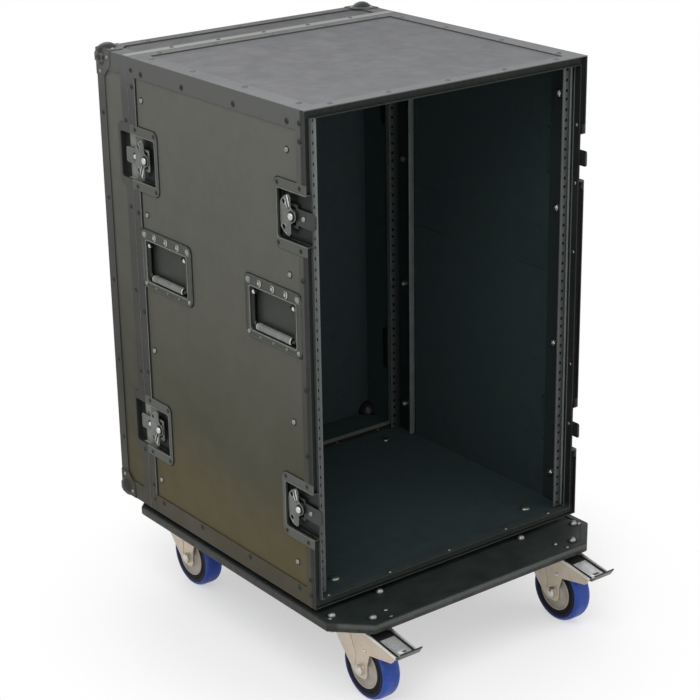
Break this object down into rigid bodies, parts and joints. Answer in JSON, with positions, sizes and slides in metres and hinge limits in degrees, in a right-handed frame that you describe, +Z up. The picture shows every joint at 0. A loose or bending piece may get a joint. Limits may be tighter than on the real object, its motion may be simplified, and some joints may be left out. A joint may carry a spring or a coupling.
{
  "type": "amp rack case",
  "caption": "Plywood flight case with rack rails at both ends, a lift-off rear lid, recessed latches and handles, on a board with swivel casters, the front ones braked.",
  "frame": {"origin": "on the floor under the middle of the object's box, lid and brake pedals included", "axes": "+Z up, -Y out of the open front, +X to the right seen from the front"},
  "size_m": [0.528, 0.68, 0.89],
  "materials": {
    "laminate": "grey phenolic laminate on plywood, fine satin grain",
    "edging": "dark grey anodised extrusion, satin",
    "rail": "black powder coat on folded steel",
    "dish": "black zinc on pressed steel, worn bright on edges",
    "latch": "black zinc on pressed steel, bright centre",
    "grip": "dark grey coated steel bar",
    "board": "near-black laminate on plywood with grey edge trim",
    "zinc": "warm zinc plate on pressed steel",
    "tyre": "blue elastic tread on a grey hub",
    "chrome": "bright plated pressed steel"
  },
  "bodies": {
    "case": {"left_side_panel": "laminate", "right_side_panel": "laminate", "top_panel": "laminate", "bottom_panel": "laminate", "front_rim": "edging", "rear_rim": "edging", "top_left_edge_angle": "edging", "top_right_edge_angle": "edging", "bottom_right_edge_angle": "edging", "bottom_left_edge_angle": "edging", "front_left_rack_rail": "rail", "front_left_handle_dish": "dish", "front_right_rack_rail": "rail", "front_right_handle_dish": "dish", "rear_left_rack_rail": "rail", "rear_left_handle_dish": "dish", "rear_right_rack_rail": "rail", "rear_right_handle_dish": "dish", "front_left_upper_latch_dish": "dish", "front_left_lower_latch_dish": "dish", "front_right_upper_latch_dish": "dish", "front_right_lower_latch_dish": "dish", "rear_left_upper_latch_dish": "dish", "rear_left_lower_latch_dish": "dish", "rear_right_upper_latch_dish": "dish", "rear_right_lower_latch_dish": "dish", "caster_board": "board"},
    "rear_lid": {"rear_lid_shell": "laminate", "rear_lid_rim": "edging", "rear_lid_edging": "edging"},
    "front_left_upper_latch_wing": {"front_left_upper_latch_wing": "latch"},
    "front_left_upper_latch_hook": {"front_left_upper_latch_hook": "latch"},
    "front_left_lower_latch_wing": {"front_left_lower_latch_wing": "latch"},
    "front_left_lower_latch_hook": {"front_left_lower_latch_hook": "latch"},
    "front_right_upper_latch_wing": {"front_right_upper_latch_wing": "latch"},
    "front_right_upper_latch_hook": {"front_right_upper_latch_hook": "latch"},
    "front_right_lower_latch_wing": {"front_right_lower_latch_wing": "latch"},
    "front_right_lower_latch_hook": {"front_right_lower_latch_hook": "latch"},
    "rear_left_upper_latch_wing": {"rear_left_upper_latch_wing": "latch"},
    "rear_left_upper_latch_hook": {"rear_left_upper_latch_hook": "latch"},
    "rear_left_lower_latch_wing": {"rear_left_lower_latch_wing": "latch"},
    "rear_left_lower_latch_hook": {"rear_left_lower_latch_hook": "latch"},
    "rear_right_upper_latch_wing": {"rear_right_upper_latch_wing": "latch"},
    "rear_right_upper_latch_hook": {"rear_right_upper_latch_hook": "latch"},
    "rear_right_lower_latch_wing": {"rear_right_lower_latch_wing": "latch"},
    "rear_right_lower_latch_hook": {"rear_right_lower_latch_hook": "latch"},
    "front_left_handle_grip": {"front_left_handle_grip": "grip"},
    "front_right_handle_grip": {"front_right_handle_grip": "grip"},
    "rear_left_handle_grip": {"rear_left_handle_grip": "grip"},
    "rear_right_handle_grip": {"rear_right_handle_grip": "grip"},
    "front_left_caster_fork": {"front_left_caster_fork": "zinc"},
    "front_left_caster_wheel": {"front_left_caster_wheel": "tyre"},
    "front_left_brake_pedal": {"front_left_brake_pedal": "chrome"},
    "front_right_caster_fork": {"front_right_caster_fork": "zinc"},
    "front_right_caster_wheel": {"front_right_caster_wheel": "tyre"},
    "front_right_brake_pedal": {"front_right_brake_pedal": "chrome"},
    "rear_left_caster_fork": {"rear_left_caster_fork": "zinc"},
    "rear_left_caster_wheel": {"rear_left_caster_wheel": "tyre"},
    "rear_right_caster_fork": {"rear_right_caster_fork": "zinc"},
    "rear_right_caster_wheel": {"rear_right_caster_wheel": "tyre"}
  },
  "joints": [
    {"name": "rear_lid_off", "type": "slide", "parent": "case", "child": "rear_lid", "axis": [0, 1, 0], "range_m": [0, 0.15]},
    {"name": "front_left_upper_latch_turn", "type": "hinge", "parent": "case", "child": "front_left_upper_latch_wing", "pos_m": [-0.2552, -0.166, 0.729], "axis": [1, 0, 0], "range_deg": [0, 180]},
    {"name": "front_left_upper_latch_draw", "type": "slide", "parent": "case", "child": "front_left_upper_latch_hook", "axis": [-0.2169, -0.9762, 0], "range_m": [0, 0.0093]},
    {"name": "front_left_lower_latch_turn", "type": "hinge", "parent": "case", "child": "front_left_lower_latch_wing", "pos_m": [-0.2552, -0.166, 0.291], "axis": [1, 0, 0], "range_deg": [0, 180]},
    {"name": "front_left_lower_latch_draw", "type": "slide", "parent": "case", "child": "front_left_lower_latch_hook", "axis": [-0.2169, -0.9762, 0], "range_m": [0, 0.0093]},
    {"name": "front_right_upper_latch_turn", "type": "hinge", "parent": "case", "child": "front_right_upper_latch_wing", "pos_m": [0.2552, -0.166, 0.729], "axis": [-1, 0, 0], "range_deg": [0, 180]},
    {"name": "front_right_upper_latch_draw", "type": "slide", "parent": "case", "child": "front_right_upper_latch_hook", "axis": [0.2169, -0.9762, 0], "range_m": [0, 0.0093]},
    {"name": "front_right_lower_latch_turn", "type": "hinge", "parent": "case", "child": "front_right_lower_latch_wing", "pos_m": [0.2552, -0.166, 0.291], "axis": [-1, 0, 0], "range_deg": [0, 180]},
    {"name": "front_right_lower_latch_draw", "type": "slide", "parent": "case", "child": "front_right_lower_latch_hook", "axis": [0.2169, -0.9762, 0], "range_m": [0, 0.0093]},
    {"name": "rear_left_upper_latch_turn", "type": "hinge", "parent": "case", "child": "rear_left_upper_latch_wing", "pos_m": [-0.2552, 0.209, 0.729], "axis": [1, 0, 0], "range_deg": [0, 180]},
    {"name": "rear_left_upper_latch_draw", "type": "slide", "parent": "case", "child": "rear_left_upper_latch_hook", "axis": [0.2169, -0.9762, 0], "range_m": [0, 0.0093]},
    {"name": "rear_left_lower_latch_turn", "type": "hinge", "parent": "case", "child": "rear_left_lower_latch_wing", "pos_m": [-0.2552, 0.209, 0.291], "axis": [1, 0, 0], "range_deg": [0, 180]},
    {"name": "rear_left_lower_latch_draw", "type": "slide", "parent": "case", "child": "rear_left_lower_latch_hook", "axis": [0.2169, -0.9762, 0], "range_m": [0, 0.0093]},
    {"name": "rear_right_upper_latch_turn", "type": "hinge", "parent": "case", "child": "rear_right_upper_latch_wing", "pos_m": [0.2552, 0.209, 0.729], "axis": [-1, 0, 0], "range_deg": [0, 180]},
    {"name": "rear_right_upper_latch_draw", "type": "slide", "parent": "case", "child": "rear_right_upper_latch_hook", "axis": [-0.2169, -0.9762, 0], "range_m": [0, 0.0093]},
    {"name": "rear_right_lower_latch_turn", "type": "hinge", "parent": "case", "child": "rear_right_lower_latch_wing", "pos_m": [0.2552, 0.209, 0.291], "axis": [-1, 0, 0], "range_deg": [0, 180]},
    {"name": "rear_right_lower_latch_draw", "type": "slide", "parent": "case", "child": "rear_right_lower_latch_hook", "axis": [-0.2169, -0.9762, 0], "range_m": [0, 0.0093]},
    {"name": "front_left_handle_swing", "type": "hinge", "parent": "case", "child": "front_left_handle_grip", "pos_m": [-0.253, -0.117, 0.5962], "axis": [0, 1, 0], "range_deg": [0, 90], "stiffness_Nm_per_rad": 0.12, "springref_deg": -22.92},
    {"name": "front_right_handle_swing", "type": "hinge", "parent": "case", "child": "front_right_handle_grip", "pos_m": [0.253, -0.117, 0.5962], "axis": [0, -1, 0], "range_deg": [0, 90], "stiffness_Nm_per_rad": 0.12, "springref_deg": -22.92},
    {"name": "rear_left_handle_swing", "type": "hinge", "parent": "case", "child": "rear_left_handle_grip", "pos_m": [-0.253, 0.16, 0.5962], "axis": [0, 1, 0], "range_deg": [0, 90], "stiffness_Nm_per_rad": 0.12, "springref_deg": -22.92},
    {"name": "rear_right_handle_swing", "type": "hinge", "parent": "case", "child": "rear_right_handle_grip", "pos_m": [0.253, 0.16, 0.5962], "axis": [0, -1, 0], "range_deg": [0, 90], "stiffness_Nm_per_rad": 0.12, "springref_deg": -22.92},
    {"name": "front_left_caster_swivel", "type": "hinge", "parent": "case", "child": "front_left_caster_fork", "pos_m": [-0.19, -0.21, 0.12], "axis": [0, 0, 1], "continuous": true},
    {"name": "front_left_caster_roll", "type": "hinge", "parent": "front_left_caster_fork", "child": "front_left_caster_wheel", "pos_m": [-0.19, -0.247, 0.05], "axis": [1, 0, 0], "continuous": true},
    {"name": "front_left_brake_press", "type": "hinge", "parent": "front_left_caster_fork", "child": "front_left_brake_pedal", "pos_m": [-0.19, -0.272, 0.1035], "axis": [1, 0, 0], "range_deg": [0, 12]},
    {"name": "front_right_caster_swivel", "type": "hinge", "parent": "case", "child": "front_right_caster_fork", "pos_m": [0.19, -0.21, 0.12], "axis": [0, 0, 1], "continuous": true},
    {"name": "front_right_caster_roll", "type": "hinge", "parent": "front_right_caster_fork", "child": "front_right_caster_wheel", "pos_m": [0.19, -0.247, 0.05], "axis": [1, 0, 0], "continuous": true},
    {"name": "front_right_brake_press", "type": "hinge", "parent": "front_right_caster_fork", "child": "front_right_brake_pedal", "pos_m": [0.19, -0.272, 0.1035], "axis": [1, 0, 0], "range_deg": [0, 12]},
    {"name": "rear_left_caster_swivel", "type": "hinge", "parent": "case", "child": "rear_left_caster_fork", "pos_m": [-0.19, 0.253, 0.12], "axis": [0, 0, 1], "continuous": true},
    {"name": "rear_left_caster_roll", "type": "hinge", "parent": "rear_left_caster_fork", "child": "rear_left_caster_wheel", "pos_m": [-0.19, 0.216, 0.05], "axis": [1, 0, 0], "continuous": true},
    {"name": "rear_right_caster_swivel", "type": "hinge", "parent": "case", "child": "rear_right_caster_fork", "pos_m": [0.19, 0.253, 0.12], "axis": [0, 0, 1], "continuous": true},
    {"name": "rear_right_caster_roll", "type": "hinge", "parent": "rear_right_caster_fork", "child": "rear_right_caster_wheel", "pos_m": [0.19, 0.216, 0.05], "axis": [1, 0, 0], "continuous": true}
  ],
  "couplings": [
    {"joint": "front_left_upper_latch_draw", "follows": "front_left_upper_latch_turn", "m_per_rad": 0.002935},
    {"joint": "front_left_lower_latch_draw", "follows": "front_left_lower_latch_turn", "m_per_rad": 0.002935},
    {"joint": "front_right_upper_latch_draw", "follows": "front_right_upper_latch_turn", "m_per_rad": 0.002935},
    {"joint": "front_right_lower_latch_draw", "follows": "front_right_lower_latch_turn", "m_per_rad": 0.002935},
    {"joint": "rear_left_upper_latch_draw", "follows": "rear_left_upper_latch_turn", "m_per_rad": 0.002935},
    {"joint": "rear_left_lower_latch_draw", "follows": "rear_left_lower_latch_turn", "m_per_rad": 0.002935},
    {"joint": "rear_right_upper_latch_draw", "follows": "rear_right_upper_latch_turn", "m_per_rad": 0.002935},
    {"joint": "rear_right_lower_latch_draw", "follows": "rear_right_lower_latch_turn", "m_per_rad": 0.002935}
  ]
}
